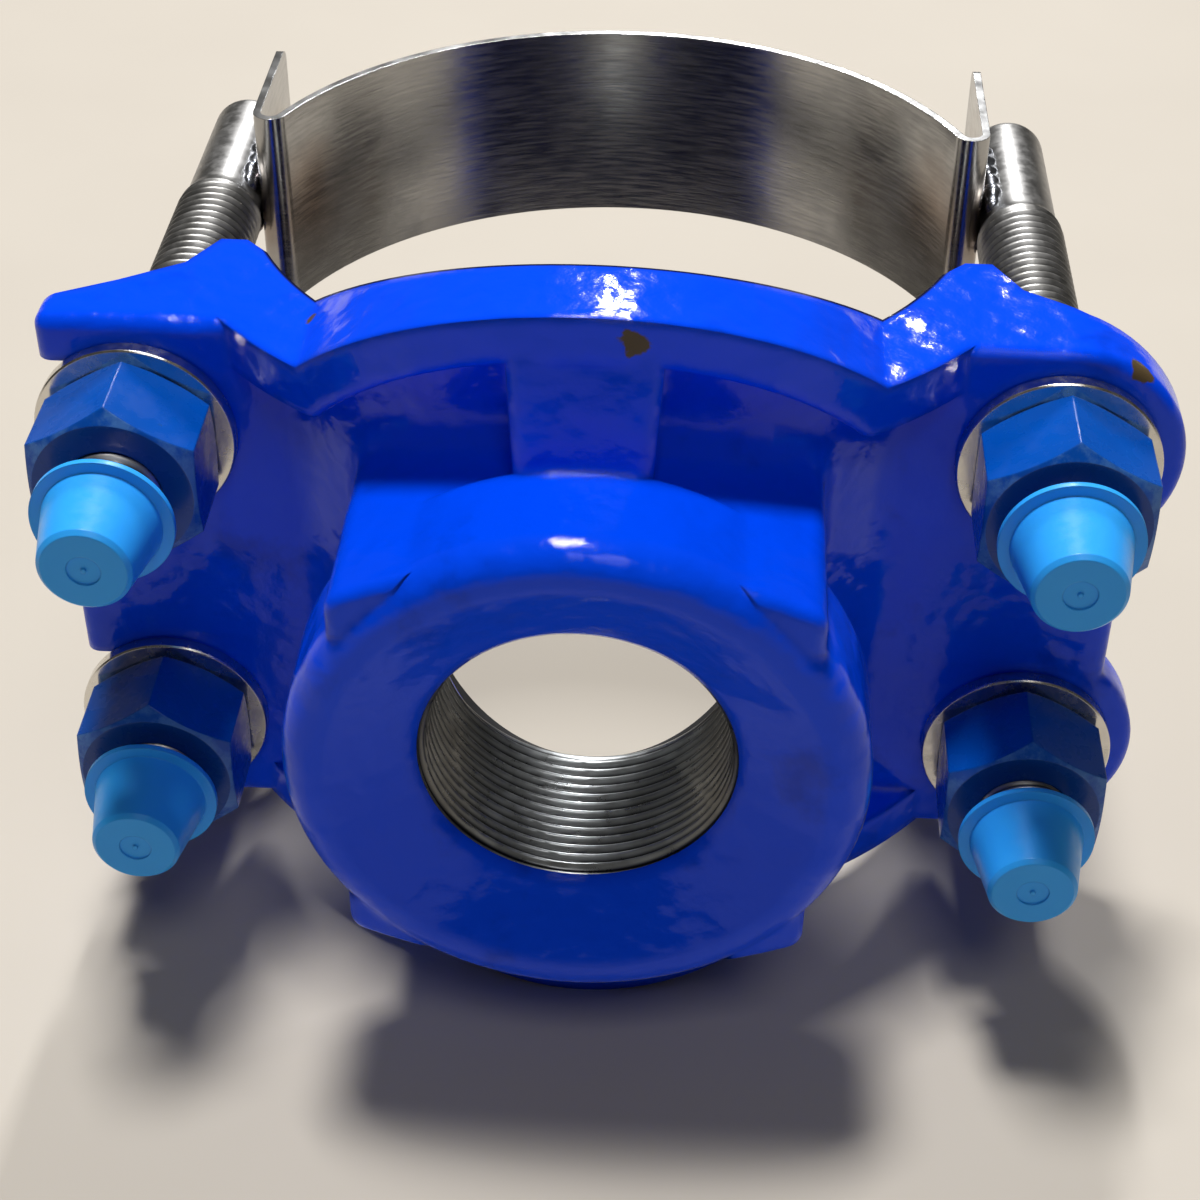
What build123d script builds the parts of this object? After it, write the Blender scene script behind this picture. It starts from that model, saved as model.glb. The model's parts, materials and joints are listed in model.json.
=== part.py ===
"""Double-strap tapping saddle: an iron casting with a threaded outlet, clamped to a pipe by two steel
straps with welded studs. Millimetres. The outlet faces -Y, its thread starts at Y = 0, and the pipe
lies along Z."""

import os
from math import asin, degrees, sqrt

from build123d import *

os.makedirs("parts", exist_ok=True)

# Pipe and outlet.
pipe_r = 70.0  # 140 mm pipe
seat_y = 35.0  # depth of the pipe seat at the middle, behind the outlet face
pipe_y = seat_y + pipe_r
stud_gap = 14.0  # from the pipe's side to a stud's axis
stud_x = pipe_r + stud_gap
stud_z = 34.0
outlet_r = 28.33  # minor radius of a G 2 female thread
outlet_chamfer = 1.5

# Round boss with a dished face, and the squarish neck behind it.
boss_r = 51.5
boss_rim = 6.0
boss_front_y = -8.5
boss_back_y = 17.0
boss_land = 1.8  # flat crest between the rounded rim and the dish
neck_side = 41.5
neck_corner_z = 38.0
neck_crown_z = 47.5
neck_start_y = -6.5
neck_corner_r = 4.0

# Shell round the pipe, its raised rim and the ribs above and below the neck.
shell_wall = 8.0
rim_height = 9.0
rim_width = 9.0
dome_r = 70.0
dome_z = 9.0
rib_half = 14.0
rib_foot_half = 11.5
rib_foot_y = 13.0
rib_sink = 4.0  # how far a rib runs into shell and neck
rib_top_margin = 2.0
rib_top_y = seat_y - shell_wall - rim_height + 2.0

# Ears: flat front face, sloping back, a ridge beside the pipe.
ear_y = 48.0
ear_left_reach = 17.0  # from a stud's axis to the end of an arm
ear_tip_thick = 7.0
ear_mid_reach = 4.0
ear_mid_thick = 14.0
ridge_to_axis = 27.0
ridge_top = 5.0  # width of the ridge's flat top
ridge_slope_x = 5.0
ridge_slope_y = 9.0
seat_lip = 7.5  # from the pipe's side in to the end of the seat
ridge_in = 4.5
lug_r = 23.0
lug_dip_reach = 15.5
ear_web_thick = 13.0
ear_recess_half = 14.0
ear_recess_width = 36.0
ear_recess_shift = 6.0
ear_recess_r = 6.0

ear_top_z = stud_z + lug_r
ear_left_x = stud_x + ear_left_reach
ear_tip_back_y = ear_y + ear_tip_thick
ear_mid_back = (stud_x + ear_mid_reach, ear_y + ear_mid_thick)
ear_web_back_y = ear_y + ear_web_thick
lug_dip_x = stud_x + lug_dip_reach
ridge_y = pipe_y - ridge_to_axis
seat_half = pipe_r - seat_lip

# Rounding of the casting's edges.
neck_cove_r = 8.0
web_cove_r = 8.0
edge_r = 3.0
lug_edge_r = 2.0
neck_face_r = 2.0
rim_root_r = 1.5

# Studs, one at each strap end.
stud_r = 9.0
shank_r = 8.0
thread_past_axis = 24.0
stud_past_axis = 64.0
thread_end_y = pipe_y + thread_past_axis
stud_back_y = pipe_y + stud_past_axis
stud_back_r = 3.5
stud_end_chamfer = 1.5
ear_hole_r = 11.0
slot_half = 14.0
slot_end_r = 8.0

# Washers and nuts.
washer_r = 18.5
washer_hole_r = 9.9
washer_thick = 3.0
nut_flats = 30.0
nut_height = 18.0
nut_bevel_drop = 2.75
nut_bevel_reach = 4.0
nut_face_margin = 0.6
thread_clearance = 0.05

# Thread caps.
cap_length = 15.0
cap_rim_r = 12.8
cap_rim_thick = 1.2
cap_mouth_r = 10.7
cap_end_r = 8.3
cap_wall = 1.1
cap_grip = 6.0
cap_grip_clearance = 0.02
cap_grip_depth = 6.5
cap_end_bevel = 0.8
cap_ring_r = 3.0
cap_ring_depth = 0.35
cap_pip_r = 0.5
cap_end_y = {"ul": 4.5, "ur": 8.5, "ll": 7.5, "lr": 6.0}

# Straps.
strap_gap = 6.0  # how much the strap's arc exceeds the pipe's
strap_offset = 4.5
strap_r = pipe_r + strap_gap
strap_y = pipe_y - strap_offset
strap_thick = 1.6
strap_half = 21.5
strap_turn_gap = 7.0
strap_turn_x = stud_x - shank_r - strap_turn_gap
flap_past_axis = 60.0
flap_tip_y = pipe_y + flap_past_axis
flap_corner_r = 3.0

# Weld beads between shank and strap flap.
weld_from_thread = 2.5
weld_length = 26.5
weld_start_y = thread_end_y + weld_from_thread
weld_end_y = weld_start_y + weld_length
weld_inner = 2.4
weld_outer = 7.2
weld_reach = 4.6

# Gasket round the port.
gasket_r = 41.0
gasket_hole_r = 31.0
gasket_depth = 6.5

corners = {
    "ul": (-stud_x, stud_z),
    "ur": (stud_x, stud_z),
    "ll": (-stud_x, -stud_z),
    "lr": (stud_x, -stud_z),
}
nut_front_y = ear_y - washer_thick - nut_height


def front(y):
    """Plane across the outlet's axis at depth y: sketch x is X, sketch y is Z, its normal is -Y."""
    return Plane.XZ.offset(-y)


def near(value, target, margin=0.3):
    """True if a value, whatever its sign, is a target."""
    return abs(abs(value) - target) < margin


def finish(builder, name):
    """Names a part and writes its STEP file."""
    builder.part.label = name
    export_step(builder.part, f"parts/{name}.step")


# Raised rim along the dome's edge, standing in front of the shell.
front_r = pipe_r + shell_wall
rim_r = front_r + rim_height
seat_end_y = pipe_y - sqrt(pipe_r**2 - seat_half**2)
front_x = sqrt(front_r**2 - (pipe_y - ear_y) ** 2)
rim_x = sqrt(rim_r**2 - (pipe_y - ear_y) ** 2)
lug_x = stud_x + lug_r
full_z = dome_r + dome_z
ridge_in_x = seat_half + ridge_in
ridge_out_x = ridge_in_x + ridge_top
recess_x = stud_x + ear_recess_shift
corner_points = list(corners.values())

with BuildPart() as rim:
    with BuildSketch(front(pipe_y - rim_r)):
        with Locations((0, dome_z), (0, -dome_z)):
            Circle(dome_r)
        Rectangle(2 * rim_x, 2 * ear_top_z)
        with Locations((0, dome_z), (0, -dome_z)):
            Circle(dome_r - rim_width, mode=Mode.SUBTRACT)
        Rectangle(2 * rim_x, 2 * (ear_top_z - rim_width), mode=Mode.SUBTRACT)
    extrude(amount=-(ear_y + 2 - pipe_y + rim_r))
    with BuildSketch(Plane.XY.offset(-full_z)):
        with Locations((0, pipe_y)):
            Circle(rim_r)
            Circle(front_r - 1, mode=Mode.SUBTRACT)
    extrude(amount=2 * full_z, mode=Mode.INTERSECT)

# Round boss with a rounded rim.
with BuildPart() as boss:
    with BuildSketch(front(boss_front_y)):
        Circle(boss_r)
    extrude(amount=boss_front_y - boss_back_y)
    fillet(boss.edges().filter_by(GeomType.CIRCLE).sort_by(Axis.Y)[0], boss_rim)

# Ribs above and below the neck, leaning back to the rim and widening towards it.
with BuildPart() as ribs:
    for side in (1, -1):
        with BuildSketch(Plane.YZ):
            with BuildLine():
                Polyline(
                    (rib_foot_y, side * (neck_crown_z - 1)),
                    (rib_top_y, side * (full_z - rib_top_margin)),
                    (seat_y + rib_sink, side * (full_z - rib_top_margin)),
                    (seat_y + rib_sink, side * (neck_crown_z - rib_sink)),
                    close=True,
                )
            make_face()
        extrude(amount=rib_half, both=True)
    with BuildSketch(front(rib_foot_y)):
        for side in (1, -1):
            with BuildLine():
                Polyline(
                    (-rib_foot_half, side * (neck_crown_z - rib_sink)),
                    (rib_foot_half, side * (neck_crown_z - rib_sink)),
                    (rib_half, side * full_z),
                    (-rib_half, side * full_z),
                    close=True,
                )
            make_face()
    extrude(amount=rib_foot_y - seat_y - rib_sink, mode=Mode.INTERSECT)

# Recess for the gasket: a round pocket whose floor follows the pipe.
with BuildPart() as gasket_seat:
    with BuildSketch(front(0)):
        Circle(gasket_r)
    extrude(amount=-pipe_y)
    with BuildSketch(Plane.XY.offset(-full_z)):
        with Locations((0, pipe_y)):
            Circle(pipe_r + gasket_depth)
    extrude(amount=2 * full_z, mode=Mode.INTERSECT)

# Gasket: fills that recess up to the pipe, with the port open.
with BuildPart() as gasket:
    add(gasket_seat.part)
    with BuildSketch(Plane.XY.offset(-full_z)):
        with Locations((0, pipe_y)):
            Circle(pipe_r)
    extrude(amount=2 * full_z, mode=Mode.SUBTRACT)
    with BuildSketch(front(0)):
        Circle(gasket_hole_r)
    extrude(amount=-pipe_y, mode=Mode.SUBTRACT)
finish(gasket, "gasket")



def on_ear_face(edge):
    """Edges on the ears' front face."""
    return near(edge.center().Y, ear_y, 0.01)


def neck_foot(edge):
    """Where the neck's sides meet the shell."""
    at = edge.center()
    return near(at.X, neck_side) and at.Y > seat_y and edge.length > neck_side


def lug_dip_edge(edge):
    """Front edge of the dip between the lugs."""
    return on_ear_face(edge) and near(edge.center().X, lug_dip_x, 0.1)


def left_tip_edge(edge):
    """Front edges of the left arms' ends."""
    return on_ear_face(edge) and near(edge.center().X, ear_left_x, 0.1)


def rib_side_edge(edge):
    """Long front edges of the ribs."""
    at = edge.center()
    across = near(at.X, (rib_foot_half + rib_half) / 2, 0.5)
    return across and rib_foot_y < at.Y < rib_top_y and neck_crown_z < abs(at.Z) < dome_r


def boss_back_edge(edge):
    """Back edge of the boss, where it stands out from the neck."""
    round_edge = edge.geom_type == GeomType.CIRCLE and near(edge.radius, boss_r, 0.1)
    return round_edge and near(edge.center().Y, boss_back_y, 0.01)


def lug_edge(edge):
    """Round front edges of the lugs."""
    round_edge = edge.geom_type == GeomType.CIRCLE and near(edge.radius, lug_r, 0.1)
    return round_edge and on_ear_face(edge) and edge.center().X > stud_x


def left_top_edge(edge):
    """Front edges of the left arms, along their top and bottom."""
    at = edge.center()
    return on_ear_face(edge) and at.X < 0 and near(at.Z, ear_top_z, 0.2) and edge.length > lug_r / 3


def rim_inner_edge(edge):
    """Inner front edge of the raised rim, between rib and ear."""
    at = edge.center()
    on_front = near(sqrt(at.X**2 + (pipe_y - at.Y) ** 2), rim_r, 0.6)
    between = rib_half < abs(at.X) < neck_side and abs(at.Z) < dome_r
    return on_front and between and edge.length > neck_side * 0.9


def neck_face_edge(edge):
    """Front edges of the neck's corners."""
    return abs(edge.center().Y - neck_start_y) < 0.01 and edge.length > 1.5 * neck_face_r


def web_edge(edge):
    """Where the shell runs out into the ears' front face."""
    return on_ear_face(edge) and near(edge.center().X, front_x, 0.1) and edge.length > ear_y


# Saddle casting.
with BuildPart() as casting:
    # Plan of shell and ears, the same all the way along the pipe.
    with BuildSketch(Plane.XY.offset(-full_z)):
        with BuildLine():
            ThreePointArc((-seat_half, seat_end_y), (0, seat_y), (seat_half, seat_end_y))
            Polyline(
                (seat_half, seat_end_y),
                (ridge_in_x, ridge_y),
                (ridge_out_x, ridge_y),
                (ridge_out_x + ridge_slope_x, ridge_y - ridge_slope_y),
                ear_mid_back,
                (lug_x, ear_tip_back_y),
                (lug_x, ear_y),
                (front_x, ear_y),
            )
            ThreePointArc((front_x, ear_y), (0, pipe_y - front_r), (-front_x, ear_y))
            Polyline(
                (-front_x, ear_y),
                (-ear_left_x, ear_y),
                (-ear_left_x, ear_tip_back_y),
                (-ear_mid_back[0], ear_mid_back[1]),
                (-ridge_out_x - ridge_slope_x, ridge_y - ridge_slope_y),
                (-ridge_out_x, ridge_y),
                (-ridge_in_x, ridge_y),
                (-seat_half, seat_end_y),
            )
        make_face()
    extrude(amount=2 * full_z)
    # Outline from the outlet side: a dome above and below, arms on the left, round lugs on the right.
    with BuildSketch(front(0)):
        with Locations((0, dome_z), (0, -dome_z)):
            Circle(dome_r)
        with Locations((-ear_left_x / 2, 0)):
            Rectangle(ear_left_x, 2 * ear_top_z)
        with Locations((stud_x / 2, 0)):
            Rectangle(stud_x, 2 * (stud_z + lug_r))
        with Locations((lug_dip_x / 2, 0)):
            Rectangle(lug_dip_x, 2 * stud_z)
        with Locations((stud_x, stud_z), (stud_x, -stud_z)):
            Circle(lug_r)
    extrude(amount=-pipe_y, mode=Mode.INTERSECT)
    add(rim.part)
    # Back of the ears is hollow round the studs, so each ear is a plate between ribs.
    with BuildSketch(front(ear_web_back_y)):
        with Locations((-recess_x, stud_z), (recess_x, stud_z), (-recess_x, -stud_z), (recess_x, -stud_z)):
            RectangleRounded(ear_recess_width, 2 * ear_recess_half, ear_recess_r)
    extrude(amount=ear_web_back_y - ridge_y, mode=Mode.SUBTRACT)
    # Neck: squarish with crowned top and bottom.
    with BuildSketch(front(neck_start_y)) as neck:
        with BuildLine():
            Line((neck_side, -neck_corner_z), (neck_side, neck_corner_z))
            ThreePointArc((neck_side, neck_corner_z), (0, neck_crown_z), (-neck_side, neck_corner_z))
            Line((-neck_side, neck_corner_z), (-neck_side, -neck_corner_z))
            ThreePointArc((-neck_side, -neck_corner_z), (0, -neck_crown_z), (neck_side, -neck_corner_z))
        make_face()
        fillet(neck.vertices(), neck_corner_r)
    extrude(amount=neck_start_y - seat_y - shell_wall)
    add(ribs.part)
    add(boss.part)
    # Pipe seat and port.
    with BuildSketch(Plane.XY.offset(-full_z)):
        with Locations((0, pipe_y)):
            Circle(pipe_r)
    extrude(amount=2 * full_z, mode=Mode.SUBTRACT)
    with BuildSketch(front(0)):
        Circle(outlet_r)
    extrude(amount=-pipe_y, mode=Mode.SUBTRACT)
    # Dished face that leads in to the chamfered mouth of the outlet.
    with BuildSketch(Plane.XY):
        with BuildLine():
            Polyline(
                (0, boss_front_y),
                (boss_r - boss_rim - boss_land, boss_front_y),
                (outlet_r + outlet_chamfer, -outlet_chamfer),
                (outlet_r, 0),
                (0, 0),
                close=True,
            )
        make_face()
    revolve(axis=Axis.Y, mode=Mode.SUBTRACT)
    # Gasket recess, as deep all round as the gasket is.
    add(gasket_seat.part, mode=Mode.SUBTRACT)
    # Stud holes on the right, open slots on the left.
    with BuildSketch(front(ear_y)):
        with Locations((stud_x, stud_z), (stud_x, -stud_z)):
            Circle(ear_hole_r)
        slot_in = stud_x - ear_hole_r
        slot_out = ear_left_x + slot_half
        with Locations((-(slot_in + slot_out) / 2, stud_z), (-(slot_in + slot_out) / 2, -stud_z)):
            RectangleRounded(slot_out - slot_in, 2 * slot_half, slot_end_r)
    extrude(amount=ear_y - ridge_y - shell_wall, mode=Mode.SUBTRACT)

# The same casting with rounded edges, one group after the other.
rounded = casting.part
for radius, wanted in (
    (neck_cove_r, neck_foot),
    (edge_r, lug_dip_edge),
    (edge_r, left_tip_edge),
    (edge_r, rib_side_edge),
    (edge_r, boss_back_edge),
    (lug_edge_r, lug_edge),
    (edge_r, left_top_edge),
    (rim_root_r, rim_inner_edge),
    (neck_face_r, neck_face_edge),
    (web_cove_r, web_edge),
):
    rounded = rounded.fillet(radius, rounded.edges().filter_by(wanted))
with BuildPart() as saddle:
    add(rounded, clean=False)
finish(saddle, "saddle_casting")


# Straps: a band round the back of the pipe, hooked outward at both ends into a flap beside the studs.
hook_lean = degrees(asin(strap_turn_x / strap_r))
hook_turn = 180 - (90 - hook_lean)
turn_y = strap_y + sqrt(strap_r**2 - strap_turn_x**2)
turn_r = (stud_x - shank_r - strap_turn_x) / (1 + strap_turn_x / strap_r)
flap_x = stud_x - shank_r
for level, low_z in {"upper": stud_z - strap_half, "lower": -stud_z - strap_half}.items():
    with BuildPart() as strap:
        with BuildSketch(Plane.XY.offset(low_z)):
            with BuildLine():
                band = ThreePointArc((-strap_turn_x, turn_y), (0, strap_y + strap_r), (strap_turn_x, turn_y))
                right = JernArc(band @ 1, band % 1, turn_r, 90 + hook_lean)
                left = JernArc(band @ 0, -(band % 0), turn_r, -90 - hook_lean)
                Line(right @ 1, (flap_x, flap_tip_y))
                Line(left @ 1, (-flap_x, flap_tip_y))
                offset(amount=strap_thick, side=Side.LEFT)
            make_face()
        extrude(amount=2 * strap_half)
        tips = strap.edges().filter_by(Axis.X).filter_by(lambda e: e.center().Y > flap_tip_y - 0.1)
        fillet(tips.filter_by(lambda e: e.length < 2 * strap_thick), flap_corner_r)
    finish(strap, f"strap_{level}")

# Studs: threaded length, then a thinner shank with a rounded end.
for key, (x, z) in corners.items():
    stud_front_y = cap_end_y[key] + cap_length - cap_grip
    with BuildPart() as stud:
        with BuildSketch(Plane.XY.offset(z)):
            with BuildLine():
                Polyline(
                    (x, stud_front_y),
                    (x + stud_r - stud_end_chamfer, stud_front_y),
                    (x + stud_r, stud_front_y + stud_end_chamfer),
                    (x + stud_r, thread_end_y - 1),
                    (x + shank_r, thread_end_y),
                    (x + shank_r, stud_back_y),
                    (x, stud_back_y),
                    close=True,
                )
            make_face()
        revolve(axis=Axis((x, 0, z), (0, 1, 0)))
        fillet(stud.faces().sort_by(Axis.Y)[-1].edges(), stud_back_r)
    finish(stud, f"stud_{key}")

    # Weld: one bead above and one below the line where the shank touches the flap.
    inward = -1 if x > 0 else 1
    face_x = x + inward * shank_r
    with BuildPart() as weld:
        with BuildSketch(front(weld_start_y)):
            for side in (1, -1):
                with BuildLine():
                    Polyline(
                        (face_x, z + side * weld_inner),
                        (face_x, z + side * weld_outer),
                        (face_x - inward * weld_reach, z + side * weld_outer),
                        (face_x - inward * weld_reach, z + side * weld_inner),
                        close=True,
                    )
                make_face()
            with Locations((x, z)):
                Circle(shank_r, mode=Mode.SUBTRACT)
        extrude(amount=weld_start_y - weld_end_y)
    finish(weld, f"weld_{key}")

    # Washer against the ear.
    with BuildPart() as washer:
        with BuildSketch(front(ear_y - washer_thick)):
            with Locations((x, z)):
                Circle(washer_r)
                Circle(washer_hole_r, mode=Mode.SUBTRACT)
        extrude(amount=-washer_thick)
        chamfer(washer.edges().filter_by(GeomType.CIRCLE).sort_by(SortBy.RADIUS)[-2:], 0.3)
    finish(washer, f"washer_{key}")

    # Hex nut, a corner up, with bevelled corners on both faces.
    with BuildPart() as nut:
        with BuildSketch(front(nut_front_y)):
            with Locations((x, z)):
                RegularPolygon(nut_flats / 2, 6, major_radius=False, rotation=30)
        extrude(amount=-nut_height)
        with BuildSketch(Plane.XY.offset(z)):
            with BuildLine():
                Polyline(
                    (x, nut_front_y),
                    (x + nut_flats / 2 - nut_face_margin, nut_front_y),
                    (x + nut_flats / 2 + nut_bevel_reach, nut_front_y + nut_bevel_drop),
                    (x + nut_flats / 2 + nut_bevel_reach, nut_front_y + nut_height - nut_bevel_drop),
                    (x + nut_flats / 2 - nut_face_margin, nut_front_y + nut_height),
                    (x, nut_front_y + nut_height),
                    close=True,
                )
            make_face()
        revolve(axis=Axis((x, 0, z), (0, 1, 0)), mode=Mode.INTERSECT)
        with BuildSketch(front(nut_front_y)):
            with Locations((x, z)):
                Circle(stud_r + thread_clearance)
        extrude(amount=-nut_height, mode=Mode.SUBTRACT)
    finish(nut, f"nut_{key}")

    # Thread cap: tapered cup with a wide thin rim, a ring and a pip on its end.
    end_y = cap_end_y[key]
    rim_y = end_y + cap_length
    mouth_r = stud_r + cap_grip_clearance
    with BuildPart() as cap:
        with BuildSketch(Plane.XY.offset(z)):
            with BuildLine():
                Polyline(
                    (x, end_y),
                    (x + cap_end_r - cap_end_bevel, end_y),
                    (x + cap_end_r, end_y + cap_end_bevel),
                    (x + cap_mouth_r, rim_y - cap_rim_thick),
                    (x + cap_rim_r, rim_y - cap_rim_thick),
                    (x + cap_rim_r, rim_y),
                    (x + mouth_r, rim_y),
                    (x + mouth_r, rim_y - cap_grip_depth),
                    (x + cap_end_r - cap_wall, end_y + cap_wall),
                    (x, end_y + cap_wall),
                    close=True,
                )
            make_face()
        revolve(axis=Axis((x, 0, z), (0, 1, 0)))
        with BuildSketch(front(end_y)):
            with Locations((x, z)):
                Circle(cap_ring_r)
                Circle(cap_pip_r, mode=Mode.SUBTRACT)
        extrude(amount=-cap_ring_depth, mode=Mode.SUBTRACT)
    finish(cap, f"cap_{key}")
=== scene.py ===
"""Looks for the tapping saddle: materials, threads, weld beads, floor, light and camera. Metres."""

import json
from math import cos, pi, radians, sin, tau

import bpy
from mathutils import Matrix, Vector, noise


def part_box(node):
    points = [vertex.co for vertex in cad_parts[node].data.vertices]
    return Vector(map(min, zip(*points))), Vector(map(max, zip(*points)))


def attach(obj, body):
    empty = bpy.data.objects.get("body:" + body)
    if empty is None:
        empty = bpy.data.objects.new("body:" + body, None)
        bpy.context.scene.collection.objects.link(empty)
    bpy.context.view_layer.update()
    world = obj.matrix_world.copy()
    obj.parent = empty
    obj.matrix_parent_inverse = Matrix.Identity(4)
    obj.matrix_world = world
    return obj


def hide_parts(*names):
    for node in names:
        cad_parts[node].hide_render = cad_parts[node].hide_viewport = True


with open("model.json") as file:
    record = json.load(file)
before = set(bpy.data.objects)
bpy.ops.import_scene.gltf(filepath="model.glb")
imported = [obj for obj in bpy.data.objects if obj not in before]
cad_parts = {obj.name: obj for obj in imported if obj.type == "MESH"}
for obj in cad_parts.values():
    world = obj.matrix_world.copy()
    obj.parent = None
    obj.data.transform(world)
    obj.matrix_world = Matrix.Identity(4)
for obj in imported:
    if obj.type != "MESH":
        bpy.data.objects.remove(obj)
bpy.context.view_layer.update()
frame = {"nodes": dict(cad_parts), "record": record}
nodes = frame["nodes"]

CORNERS = {"ul": (-0.084, 0.034), "ur": (0.084, 0.034), "ll": (-0.084, -0.034), "lr": (0.084, -0.034)}
FLOOR_Z = -0.079
bpy.context.scene.view_settings.view_transform = "Standard"


# Materials.
class Graph:
    """Short calls for building one node material in object coordinates."""

    def __init__(self, name):
        self.mat = bpy.data.materials.new(name)
        self.mat.use_nodes = True
        self.tree = self.mat.node_tree
        self.bsdf = next(n for n in self.tree.nodes if n.type == "BSDF_PRINCIPLED")
        self.coords = self.tree.nodes.new("ShaderNodeTexCoord")

    def put(self, value, socket):
        if isinstance(value, bpy.types.NodeSocket):
            self.tree.links.new(value, socket)
        else:
            socket.default_value = value

    def set(self, **values):
        for name, value in values.items():
            self.put(value, self.bsdf.inputs[name.replace("_", " ")])

    def math(self, kind, a, b=0.0, clamp=False):
        node = self.tree.nodes.new("ShaderNodeMath")
        node.operation = kind
        node.use_clamp = clamp
        self.put(a, node.inputs[0])
        self.put(b, node.inputs[1])
        return node.outputs[0]

    def noise(self, scale, detail=3.0, roughness=0.5, at=None, stretch=(1, 1, 1)):
        spot = self.tree.nodes.new("ShaderNodeMapping")
        self.put(at or self.coords.outputs["Object"], spot.inputs["Vector"])
        spot.inputs["Scale"].default_value = stretch
        node = self.tree.nodes.new("ShaderNodeTexNoise")
        self.put(spot.outputs[0], node.inputs["Vector"])
        node.inputs["Scale"].default_value = scale
        node.inputs["Detail"].default_value = detail
        node.inputs["Roughness"].default_value = roughness
        return node.outputs["Fac"]

    def steps(self, value, low, high, out_low=0.0, out_high=1.0):
        node = self.tree.nodes.new("ShaderNodeMapRange")
        node.interpolation_type = "SMOOTHSTEP"
        for socket, item in zip(node.inputs[:5], (value, low, high, out_low, out_high)):
            self.put(item, socket)
        return node.outputs[0]

    def mix(self, fac, a, b):
        node = self.tree.nodes.new("ShaderNodeMix")
        node.data_type = "RGBA"
        self.put(fac, node.inputs[0])
        self.put(a, node.inputs[6])
        self.put(b, node.inputs[7])
        return node.outputs[2]

    def part(self, vector, axis):
        node = self.tree.nodes.new("ShaderNodeSeparateXYZ")
        self.put(vector, node.inputs[0])
        return node.outputs[axis]

    def near(self, point):
        """Distance in metres from a fixed point of the object."""
        node = self.tree.nodes.new("ShaderNodeVectorMath")
        node.operation = "DISTANCE"
        self.put(self.coords.outputs["Object"], node.inputs[0])
        node.inputs[1].default_value = point
        return node.outputs["Value"]

    def bump(self, height, strength, distance, normal=None):
        node = self.tree.nodes.new("ShaderNodeBump")
        self.put(height, node.inputs["Height"])
        node.inputs["Strength"].default_value = strength
        node.inputs["Distance"].default_value = distance
        if normal:
            self.put(normal, node.inputs["Normal"])
        return node.outputs[0]

    def rounded(self, radius):
        node = self.tree.nodes.new("ShaderNodeBevel")
        node.samples = 6
        node.inputs["Radius"].default_value = radius
        return node.outputs[0]


CHIPS = (((0.0085, 0.018, 0.0745), 0.0026), ((0.097, 0.049, 0.053), 0.0022), ((-0.05, 0.05, 0.057), 0.0015))


def casting_paint():
    """Thick glossy blue coating: orange-peel surface, soft edges, thin dark patches, three chips and painted shade
    inside the pipe seat.
    """
    g = Graph("casting_paint")
    patches = g.steps(g.noise(38, 5, 0.6), 0.56, 0.74)
    color = g.mix(patches, (0.0, 0.062, 0.86, 1), (0.0, 0.042, 0.6, 1))
    wobble = g.noise(160, 4, 0.6)
    for spot, size in CHIPS:
        rough = g.math("ADD", g.near(spot), g.math("MULTIPLY", wobble, 0.006))
        chip = g.steps(rough, size + 0.0026, size + 0.0032, 1.0, 0.0)
        color = g.mix(chip, color, (0.09, 0.062, 0.03, 1))
    # Painted shade: the inside of the pipe seat, within about 70 mm of the pipe's axis, is painted near black.
    across = g.part(g.coords.outputs["Object"], 0)
    back = g.math("SUBTRACT", g.part(g.coords.outputs["Object"], 1), 0.105)
    reach = g.math("SQRT", g.math("ADD", g.math("MULTIPLY", across, across), g.math("MULTIPLY", back, back)))
    color = g.mix(g.steps(reach, 0.0702, 0.0708, 1.0, 0.0), color, (0.004, 0.007, 0.045, 1))
    coarse = g.bump(g.noise(75, 2, 0.45), 0.85, 0.0018, g.rounded(0.003))
    fine = g.bump(g.noise(330, 3, 0.5), 0.3, 0.0005, coarse)
    g.set(Base_Color=color, Roughness=0.12, IOR=1.5, Specular_IOR_Level=0.2, Coat_Weight=0.06,
          Coat_Roughness=0.03, Normal=fine)
    return g.mat


def nut_coating():
    """Satin blue coating, rubbed pale along the bevels and edges, with painted shade on the flat end faces."""
    g = Graph("nut_coating")
    facing = g.math("ABSOLUTE", g.part(g.coords.outputs["Normal"], 1))
    bevel = g.math("MULTIPLY", g.steps(facing, 0.25, 0.4), g.steps(facing, 0.93, 0.98, 1.0, 0.0))
    # Painted shade: the flat end faces, whose normals run along the nut's axis, are painted darker.
    front = g.steps(facing, 0.97, 0.99)
    worn = g.math("MULTIPLY", bevel, g.steps(g.noise(160, 5, 0.7), 0.4, 0.6), clamp=True)
    color = g.mix(g.noise(90, 4), (0.0, 0.062, 0.36, 1), (0.0, 0.085, 0.46, 1))
    color = g.mix(g.math("MULTIPLY", front, 0.6), color, (0.004, 0.04, 0.2, 1))
    color = g.mix(g.math("MULTIPLY", worn, 0.45), color, (0.12, 0.3, 0.6, 1))
    g.set(Base_Color=color, Roughness=g.steps(g.noise(240, 4), 0.3, 0.7, 0.22, 0.34), Specular_IOR_Level=0.35,
          Normal=g.bump(g.noise(300, 3), 0.12, 0.0003, g.rounded(0.0005)))
    return g.mat


def cap_plastic():
    """Soft light blue moulded plastic."""
    g = Graph("cap_plastic")
    color = g.mix(g.noise(120, 3), (0.025, 0.37, 1.0, 1), (0.035, 0.4, 1.0, 1))
    g.set(Base_Color=color, Roughness=g.steps(g.noise(500, 3), 0.3, 0.7, 0.3, 0.42), Specular_IOR_Level=0.3,
          Subsurface_Weight=0.12, Subsurface_Radius=(0.001, 0.002, 0.004),
          Normal=g.bump(g.noise(240, 3), 0.08, 0.0003, g.rounded(0.0004)))
    return g.mat


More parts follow.
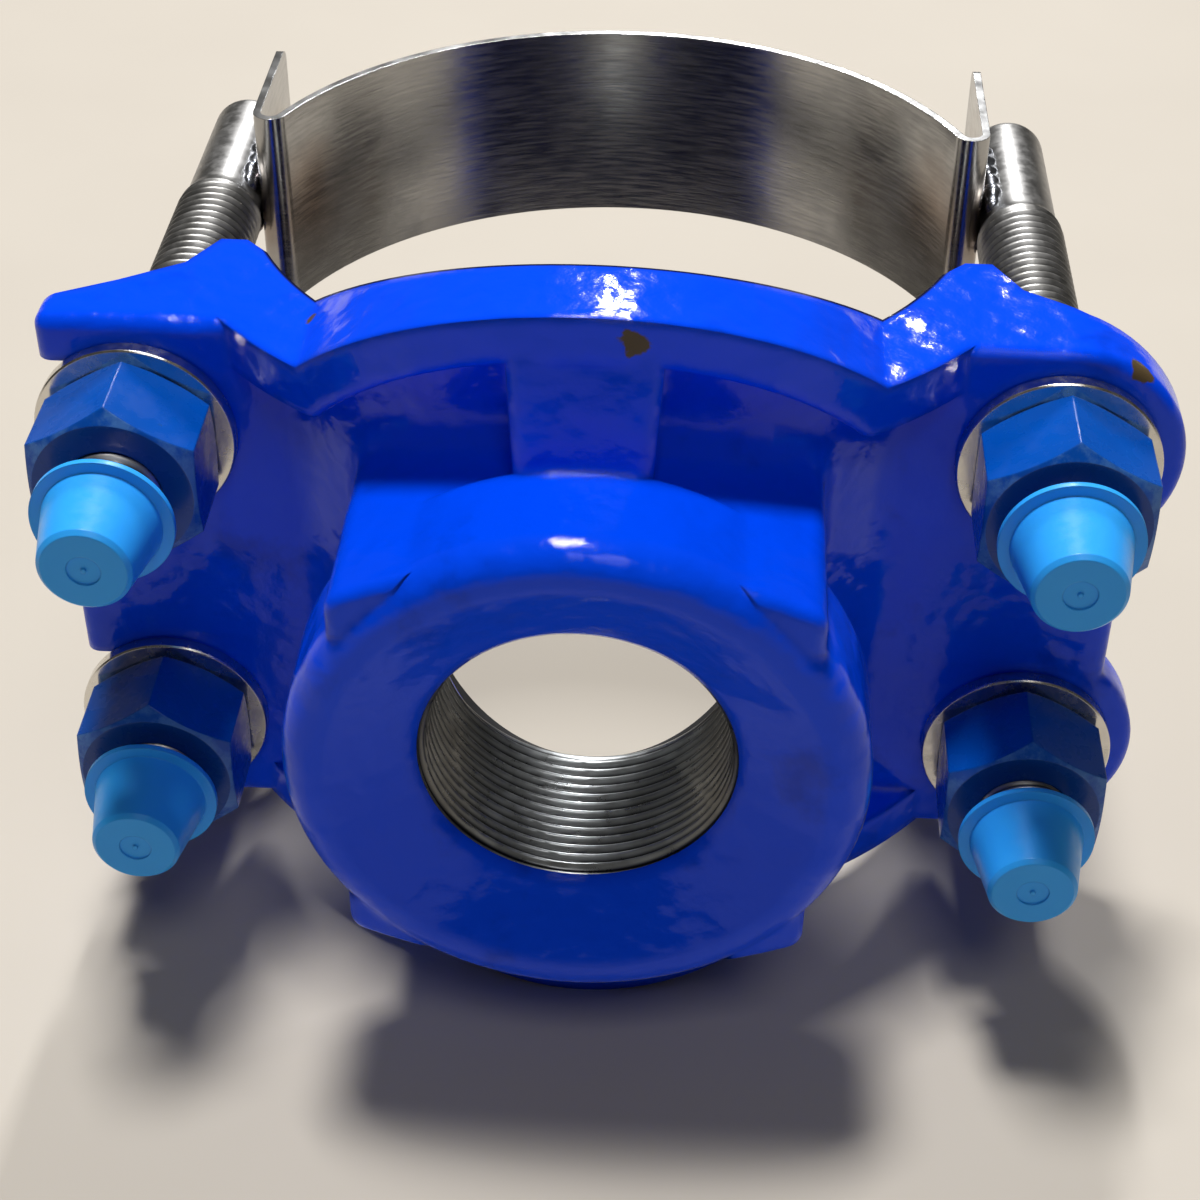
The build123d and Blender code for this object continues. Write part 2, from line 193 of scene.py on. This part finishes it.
def steel(name, color, dark, rough, grain, scale=300, tint=None, depth=None, cut=None):
    """Metal with a fine grain and darker patches, and by choice heat tint, painted shade in the thread roots and
    bright cut edges; the bore's thread also gets painted shade towards its sides.
    """
    g = Graph(name)
    shade = g.mix(g.steps(g.noise(60, 5, 0.6), 0.4, 0.7), (*color, 1), (*dark, 1))
    fine = g.noise(scale, 4, 0.6, stretch=grain)
    for points, reach, hue in tint or ():
        for point in points:
            edge = g.math("ADD", g.near(point), g.math("MULTIPLY", g.noise(90, 3), 0.008))
            fac = g.math("MULTIPLY", g.steps(edge, reach * 0.3, reach, 1.0, 0.0), 0.8)
            shade = g.mix(fac, shade, (*hue, 1))
    # Painted shade: the outlet thread is painted darker towards its left and right sides, leaving the bottom centre
    # bright.
    if name == "bore_steel":
        side = g.math("ABSOLUTE", g.part(g.coords.outputs["Object"], 0))
        shade = g.mix(g.steps(side, 0.014, 0.025, 0.0, 0.8), shade, (0.05, 0.042, 0.03, 1))
    if cut:
        edge = g.math("ABSOLUTE", g.part(g.coords.outputs["Normal"], 2))
        shade = g.mix(g.steps(edge, 0.8, 0.95), shade, (*cut, 1))
    # Painted shade: the thread roots, read from the depth attribute, are painted dark.
    if depth:
        layer = g.tree.nodes.new("ShaderNodeAttribute")
        layer.attribute_name = "depth"
        shade = g.mix(g.steps(layer.outputs["Fac"], 0.35, 1.0), shade, (*depth, 1))
    g.set(Base_Color=shade, Metallic=1.0, Roughness=g.steps(fine, 0.3, 0.7, rough[0], rough[1]),
          Normal=g.bump(fine, 0.1, 0.0002, g.rounded(0.0002)))
    return g.mat


def rubber():
    """Black moulded rubber."""
    g = Graph("rubber")
    g.set(Base_Color=g.mix(g.noise(200, 3), (0.012, 0.012, 0.013, 1), (0.025, 0.025, 0.026, 1)), Roughness=0.62,
          Normal=g.bump(g.noise(500, 3), 0.2, 0.0003))
    return g.mat


WELD_POINTS = [(side * 0.0765, 0.142, z) for side in (1, -1) for z in (0.034, -0.034)]
slots = {
    "casting_paint": casting_paint(),
    "rubber": rubber(),
    "nut_coating": nut_coating(),
    "cap_plastic": cap_plastic(),
    "strap_steel": steel("strap_steel", (0.4, 0.395, 0.385), (0.3, 0.3, 0.3), (0.16, 0.26), (1, 1, 12), 120,
                         tint=((WELD_POINTS, 0.026, (0.2, 0.11, 0.05)),), cut=(0.8, 0.8, 0.8)),
    "stud_steel": steel("stud_steel", (0.42, 0.415, 0.41), (0.32, 0.315, 0.305), (0.32, 0.46), (1, 1, 1), 400,
                        depth=(0.1, 0.1, 0.1)),
    "weld_steel": steel("weld_steel", (0.5, 0.53, 0.6), (0.3, 0.28, 0.28), (0.16, 0.34), (1, 1, 1), 260),
    "washer_steel": steel("washer_steel", (0.72, 0.69, 0.64), (0.6, 0.57, 0.52), (0.16, 0.3), (1, 1, 1), 300),
    "bore_steel": steel("bore_steel", (0.62, 0.65, 0.67), (0.45, 0.47, 0.48), (0.26, 0.4), (1, 1, 1), 300,
                        depth=(0.03, 0.03, 0.032)),
}


def paint(obj, name, smooth=None):
    """Gives a piece one material, and smooth shading below the given angle."""
    obj.data.materials.clear()
    obj.data.materials.append(slots[name])
    if smooth is not None:
        obj.data.shade_smooth()
        obj.data.set_sharp_from_angle(angle=radians(smooth))


for part in frame["record"]["subparts"]:
    if part["material_slot"] in slots and part["node"] in nodes:
        paint(nodes[part["node"]], part["material_slot"])


# Made pieces.
def mesh_piece(name, points, faces, body, stands_for=(), depths=None):
    """A piece from points and faces, in metres, that rides on a body."""
    mesh = bpy.data.meshes.new(name)
    mesh.from_pydata(points, [], faces)
    mesh.validate()
    if depths:
        layer = mesh.attributes.new("depth", "FLOAT", "POINT")
        layer.data.foreach_set("value", depths)
    obj = bpy.data.objects.new(name, mesh)
    bpy.context.scene.collection.objects.link(obj)
    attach(obj, body)
    if stands_for:
        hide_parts(*stands_for)
    return obj


def grid_faces(rows, columns):
    """Quads over rows of points, each row joined to itself as a ring."""
    faces = []
    for i in range(rows - 1):
        for j in range(columns):
            a, b = i * columns + j, i * columns + (j + 1) % columns
            faces.append((a, b, b + columns, a + columns))
    return faces


def thread_wave(phase):
    """0 at the crest and 1 at the root of a thread, with flat crests and sloping flanks."""
    t = abs((phase % 1.0) * 2 - 1)
    return min(1.0, max(0.0, (t - 0.14) / 0.72))


THREAD_STEPS = 10  # rows of points in one turn of a thread
STUD_PITCH, STUD_DEPTH, STUD_R, SHANK_R = 0.0025, 0.0011, 0.009, 0.008
STUD_RING, STUD_THREAD_END, STUD_RUN_OUT, STUD_BEVEL = 64, 0.129, 0.004, 0.0015
STUD_END_R, SHANK_ROWS, STUD_END_ROWS = 0.0035, 14, 8
BORE_PITCH, BORE_DEPTH, BORE_R = 0.00231, 0.0011, 0.02833
BORE_RING, BORE_START, BORE_END = 192, 0.0001, 0.0322
STUD_INSET, BORE_INSET = 0.00003, 0.00006  # keeps each thread inside its solid
WELD_START, WELD_END, WELD_R, WELD_ROWS, WELD_RING = 0.1318, 0.1577, 0.0031, 40, 20
WELD_IN, WELD_OUT = 0.0021, 0.0046  # bead centre from the shank's side, and from the stud's axis


def strap_body(key):
    """The body of the strap set that a stud belongs to."""
    return "strap_upper_set" if key[0] == "u" else "strap_lower_set"


def ring_of(points, x, y, z, r, ring):
    """Adds a circle of points about a line along Y."""
    for j in range(ring):
        a = tau * j / ring
        points.append((x + r * cos(a), y, z + r * sin(a)))


def make_stud(key, x, z):
    """A stud with a helical rolled thread, its run-out and a shank with a rounded end."""
    low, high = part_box("stud_" + key)
    start, end, thread_end, ring = low.y, high.y, STUD_THREAD_END, STUD_RING
    depths, points = [], []
    count = int((thread_end - start) / STUD_PITCH * THREAD_STEPS)
    for i in range(count + 1):
        y = start + (thread_end - start) * i / count
        fade = min(1.0, (thread_end - y) / STUD_RUN_OUT)
        tip = max(0.0, STUD_BEVEL - (y - start))
        for j in range(ring):
            a = tau * j / ring
            wave = thread_wave((y - start) / STUD_PITCH + j / ring)
            r = STUD_R - max(STUD_INSET + STUD_DEPTH * wave * fade, tip)
            if y >= thread_end - (STUD_R - SHANK_R):
                r = min(r, SHANK_R + (thread_end - y))
            points.append((x + r * cos(a), y, z + r * sin(a)))
            depths.append(wave * fade)
    for k in range(1, SHANK_ROWS + 1):
        ring_of(points, x, thread_end + (end - STUD_END_R - thread_end) * k / SHANK_ROWS, z, SHANK_R, ring)
    for k in range(1, STUD_END_ROWS + 1):
        t = pi / 2 * k / STUD_END_ROWS
        y, r = end - STUD_END_R + STUD_END_R * sin(t), SHANK_R - STUD_END_R + STUD_END_R * cos(t)
        ring_of(points, x, y, z, r, ring)
    depths += [0.0] * (len(points) - len(depths))
    rows = len(points) // ring
    faces = grid_faces(rows, ring)
    faces.append(tuple(range(ring)))
    faces.append(tuple(reversed(range((rows - 1) * ring, rows * ring))))
    obj = mesh_piece("stud_thread_" + key, points, faces, strap_body(key), ["stud_" + key], depths)
    paint(obj, "stud_steel", 50)


def make_bore():
    """The outlet's helical thread, a sleeve just inside the casting's plain bore."""
    start, end, ring = BORE_START, BORE_END, BORE_RING
    points, depths = [], []
    count = int((end - start) / BORE_PITCH * THREAD_STEPS)
    for i in range(count + 1):
        y = start + (end - start) * i / count
        fade = min(1.0, (y - start) / 0.0016, (end - y) / 0.002)
        for j in range(ring):
            a = tau * j / ring
            wave = thread_wave((y - start) / BORE_PITCH + j / ring)
            r = BORE_R - BORE_INSET - BORE_DEPTH * (1 - wave) * fade
            points.append((r * cos(a), y, r * sin(a)))
            depths.append(wave)
    faces = [tuple(reversed(f)) for f in grid_faces(count + 1, ring)]
    obj = mesh_piece("outlet_thread", points, faces, "saddle", depths=depths)
    paint(obj, "bore_steel", 50)


def make_weld(key, x, z):
    """Two lumpy weld beads in the grooves between shank and flap."""
    inward = -1 if x > 0 else 1
    face_x = x + inward * SHANK_R
    points, faces = [], []
    rows, ring = WELD_ROWS, WELD_RING
    for side in (1, -1):
        base = len(points)
        cx, cz = face_x - inward * WELD_IN, z + side * WELD_OUT
        for i in range(rows + 1):
            t = i / rows
            y = WELD_START + (WELD_END - WELD_START) * t
            cap = max(0.0, 1 - (2 * t - 1) ** 6) ** 0.5
            ripple = 1 + 0.10 * sin(t * tau * 5.5 + side)
            r = WELD_R * cap * ripple
            for j in range(ring):
                a = tau * j / ring
                lump = 1 + 0.22 * noise.noise(Vector((x * 50 + cos(a), y * 160, side * 3 + sin(a))))
                points.append((cx + 0.8 * r * lump * cos(a), y, cz + r * lump * sin(a)))
        faces += [tuple(base + v for v in f) for f in grid_faces(rows + 1, ring)]
        faces.append(tuple(base + v for v in range(ring)))
        faces.append(tuple(base + rows * ring + v for v in reversed(range(ring))))
    obj = mesh_piece("weld_bead_" + key, points, faces, strap_body(key), ["weld_" + key])
    paint(obj, "weld_steel", 60)


for key, (x, z) in CORNERS.items():
    make_stud(key, x, z)
    make_weld(key, x, z)
make_bore()


# Floor, light and camera.
def floor():
    """Plain pale floor."""
    mesh = bpy.data.meshes.new("floor")
    mesh.from_pydata([(-3, -3, FLOOR_Z), (3, -3, FLOOR_Z), (3, 3, FLOOR_Z), (-3, 3, FLOOR_Z)], [], [(0, 1, 2, 3)])
    obj = bpy.data.objects.new("floor", mesh)
    bpy.context.scene.collection.objects.link(obj)
    g = Graph("floor")
    g.set(Base_Color=g.mix(g.noise(9, 3), (0.5, 0.455, 0.395, 1), (0.56, 0.515, 0.45, 1)), Roughness=0.75)
    obj.data.materials.append(g.mat)


def area(name, place, target, size, power, color=(1, 1, 1)):
    """A soft square light that looks at a point."""
    data = bpy.data.lights.new(name, "AREA")
    data.shape = "RECTANGLE"
    data.size, data.size_y = size
    data.energy, data.color = power, color
    obj = bpy.data.objects.new(name, data)
    obj.location = place
    obj.rotation_euler = (Vector(target) - Vector(place)).to_track_quat("-Z", "Y").to_euler()
    bpy.context.scene.collection.objects.link(obj)


floor()
area("above", (-0.2, 0.35, 2.4), (0, 0.05, 0), (0.45, 0.35), 60, (1, 0.99, 0.97))
area("window", (0.05, 2.0, 1.6), (0, 0.05, 0), (0.13, 0.5), 32, (1, 1, 1))
area("front", (0.3, -1.4, 2.2), (0, -0.1, 0), (0.8, 0.6), 8, (1, 0.99, 0.98))
world = bpy.data.worlds.new("studio")
bpy.context.scene.world = world
world.use_nodes = True
world.node_tree.nodes["Background"].inputs[0].default_value = (0.95, 0.92, 0.86, 1)
world.node_tree.nodes["Background"].inputs[1].default_value = 0.055

yaw, pitch, roll = radians(-3.09), radians(38.28), radians(0.35)
ahead = Vector((sin(yaw) * cos(pitch), cos(yaw) * cos(pitch), -sin(pitch)))
right = ahead.cross(Vector((0, 0, 1))).normalized()
up = right.cross(ahead)
r2, u2 = right * cos(roll) + up * sin(roll), up * cos(roll) - right * sin(roll)
data = bpy.data.cameras.new("camera")
data.lens, data.sensor_width = 69.2, 36
camera = bpy.data.objects.new("camera", data)
camera.matrix_world = Matrix.Translation((0.020, -0.2993, 0.2724)) @ Matrix((r2, u2, -ahead)).transposed().to_4x4()
bpy.context.scene.collection.objects.link(camera)
bpy.context.scene.camera = camera
